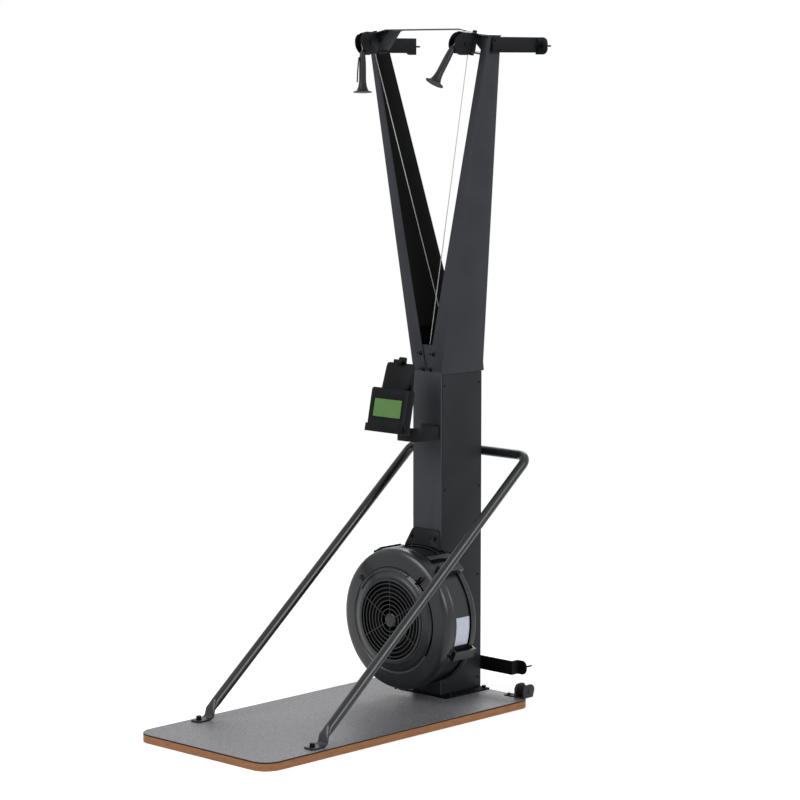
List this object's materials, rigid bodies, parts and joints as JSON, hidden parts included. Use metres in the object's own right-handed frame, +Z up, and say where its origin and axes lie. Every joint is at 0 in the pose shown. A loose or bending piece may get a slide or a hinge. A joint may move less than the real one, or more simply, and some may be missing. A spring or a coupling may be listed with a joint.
{
  "type": "ski trainer machine",
  "caption": "Standing ski trainer: deck, column with two arms in a V, low air fan, pull handles on cords over swivelling pulleys, a tilting monitor and a braced support tube.",
  "frame": {"origin": "on the floor under the middle of the deck, at the centre of its rubber underlay's bottom face", "axes": "+X to the right of a person who stands on the deck and faces the column, +Y back to the column and the wall, +Z up"},
  "size_m": [0.6382, 1.305, 2.247],
  "materials": {
    "steel_paint": "satin black powder coat on steel",
    "panel_paint": "satin black powder coat, a shade darker",
    "moulded_plastic": "fine-grained black moulding",
    "dark_plastic": "plain black moulding",
    "plywood": "sealed plywood edge",
    "deck_rubber": "speckled grey rubber over black",
    "black_rubber": "matte",
    "zinc_steel": "black zinc plate",
    "bright_steel": "ground steel",
    "cord_fibre": "braided grey cord",
    "grip_rubber": "soft matte grip",
    "webbing": "flat black webbing",
    "screen_glass": "green liquid crystal panel"
  },
  "bodies": {
    "frame": {"column_frame": "steel_paint", "arm_joint_plate": "steel_paint", "left_arm": "steel_paint", "right_arm": "steel_paint", "cross_plate": "steel_paint", "base_plate": "steel_paint", "left_wall_strap": "steel_paint", "right_wall_strap": "steel_paint", "lower_wall_bracket": "steel_paint", "support_frame": "steel_paint", "fan_bracket": "steel_paint", "guide_bracket": "steel_paint", "return_anchor": "steel_paint", "monitor_arm": "steel_paint", "left_wheel_bracket": "steel_paint", "right_wheel_bracket": "steel_paint", "left_side_panel": "panel_paint", "right_side_panel": "panel_paint", "fan_rear_shell": "moulded_plastic", "fan_front_shell": "moulded_plastic", "fan_grille": "moulded_plastic", "fan_band": "moulded_plastic", "platform_board": "plywood", "platform_mat": "deck_rubber", "rubber_underlay": "black_rubber", "left_return_cord": "black_rubber", "right_return_cord": "black_rubber", "left_swivel_pin": "zinc_steel", "right_swivel_pin": "zinc_steel", "left_upper_wall_screw": "zinc_steel", "right_upper_wall_screw": "zinc_steel", "left_lower_wall_screw": "zinc_steel", "right_lower_wall_screw": "zinc_steel", "front_bearing": "bright_steel", "rear_bearing": "bright_steel", "left_cord": "cord_fibre", "right_cord": "cord_fibre"},
    "flywheel": {"flywheel": "dark_plastic", "flywheel_shaft": "bright_steel"},
    "left_drum": {"left_drum": "dark_plastic"},
    "right_drum": {"right_drum": "dark_plastic"},
    "left_guide_pulley": {"left_guide_pulley": "dark_plastic"},
    "right_guide_pulley": {"right_guide_pulley": "dark_plastic"},
    "left_swivel": {"left_housing": "steel_paint"},
    "right_swivel": {"right_housing": "steel_paint"},
    "left_pulley": {"left_pulley": "dark_plastic"},
    "right_pulley": {"right_pulley": "dark_plastic"},
    "left_handle": {"left_handle": "grip_rubber", "left_handle_strap": "webbing", "left_cord_lead": "cord_fibre"},
    "right_handle": {"right_handle": "grip_rubber", "right_handle_strap": "webbing", "right_cord_lead": "cord_fibre"},
    "damper": {"damper_ring": "dark_plastic"},
    "monitor": {"monitor_case": "dark_plastic", "monitor_screen": "screen_glass", "phone_holder": "dark_plastic"},
    "phone_clamp": {"phone_clamp": "dark_plastic"},
    "left_transport_wheel": {"left_transport_wheel": "black_rubber"},
    "right_transport_wheel": {"right_transport_wheel": "black_rubber"}
  },
  "joints": [
    {"name": "flywheel_spin", "type": "hinge", "parent": "frame", "child": "flywheel", "pos_m": [0, 0.3235, 0.306], "axis": [0, 1, 0], "continuous": true},
    {"name": "left_drum_spin", "type": "hinge", "parent": "frame", "child": "left_drum", "pos_m": [0, 0.539, 0.306], "axis": [0, 1, 0], "continuous": true},
    {"name": "right_drum_spin", "type": "hinge", "parent": "frame", "child": "right_drum", "pos_m": [0, 0.445, 0.306], "axis": [0, 1, 0], "continuous": true},
    {"name": "left_guide_spin", "type": "hinge", "parent": "frame", "child": "left_guide_pulley", "pos_m": [-0.0325, 0.539, 1.192], "axis": [0, 1, 0], "continuous": true},
    {"name": "right_guide_spin", "type": "hinge", "parent": "frame", "child": "right_guide_pulley", "pos_m": [-0.0005, 0.445, 1.192], "axis": [0, 1, 0], "continuous": true},
    {"name": "left_pulley_swivel", "type": "hinge", "parent": "frame", "child": "left_swivel", "pos_m": [-0.21647, 0.399, 2.19864], "axis": [-0.1979, 0, 0.9802], "range_deg": [-28, 12]},
    {"name": "right_pulley_swivel", "type": "hinge", "parent": "frame", "child": "right_swivel", "pos_m": [0.21647, 0.399, 2.19864], "axis": [0.1979, 0, 0.9802], "range_deg": [-20, 20]},
    {"name": "left_pulley_spin", "type": "hinge", "parent": "left_swivel", "child": "left_pulley", "pos_m": [-0.20965, 0.34949, 2.20002], "axis": [0.9707, 0.1392, 0.196], "continuous": true},
    {"name": "right_pulley_spin", "type": "hinge", "parent": "right_swivel", "child": "right_pulley", "pos_m": [0.21647, 0.349, 2.19864], "axis": [0.9802, 0, -0.1979], "continuous": true},
    {"name": "left_handle_pull", "type": "slide", "parent": "left_swivel", "child": "left_handle", "axis": [0, -0.3, -0.9539], "range_m": [0, 1.25], "stiffness_N_per_m": 8, "springref_m": -1},
    {"name": "right_handle_pull", "type": "slide", "parent": "right_swivel", "child": "right_handle", "axis": [0, -0.4695, -0.8829], "range_m": [0, 1.25], "stiffness_N_per_m": 8, "springref_m": -1},
    {"name": "damper_turn", "type": "hinge", "parent": "frame", "child": "damper", "pos_m": [0, 0.2639, 0.306], "axis": [0, 1, 0], "range_deg": [0, 80]},
    {"name": "monitor_tilt", "type": "hinge", "parent": "frame", "child": "monitor", "pos_m": [0, 0.254, 0.938], "axis": [1, 0, 0], "range_deg": [-15, 25]},
    {"name": "phone_clamp_slide", "type": "slide", "parent": "monitor", "child": "phone_clamp", "axis": [0, 0.1994, 0.9799], "range_m": [0, 0.04]},
    {"name": "left_wheel_spin", "type": "hinge", "parent": "frame", "child": "left_transport_wheel", "pos_m": [-0.2696, 0.606, 0.0495], "axis": [1, 0, 0], "continuous": true},
    {"name": "right_wheel_spin", "type": "hinge", "parent": "frame", "child": "right_transport_wheel", "pos_m": [0.2696, 0.606, 0.0495], "axis": [1, 0, 0], "continuous": true}
  ],
  "couplings": [
    {"joint": "left_pulley_spin", "follows": "left_handle_pull", "rad_per_m": 31.25},
    {"joint": "left_guide_spin", "follows": "left_handle_pull", "rad_per_m": -62.5},
    {"joint": "left_drum_spin", "follows": "left_handle_pull", "rad_per_m": 60.606},
    {"joint": "right_pulley_spin", "follows": "right_handle_pull", "rad_per_m": 31.25},
    {"joint": "right_guide_spin", "follows": "right_handle_pull", "rad_per_m": 62.5},
    {"joint": "right_drum_spin", "follows": "right_handle_pull", "rad_per_m": 60.606}
  ]
}
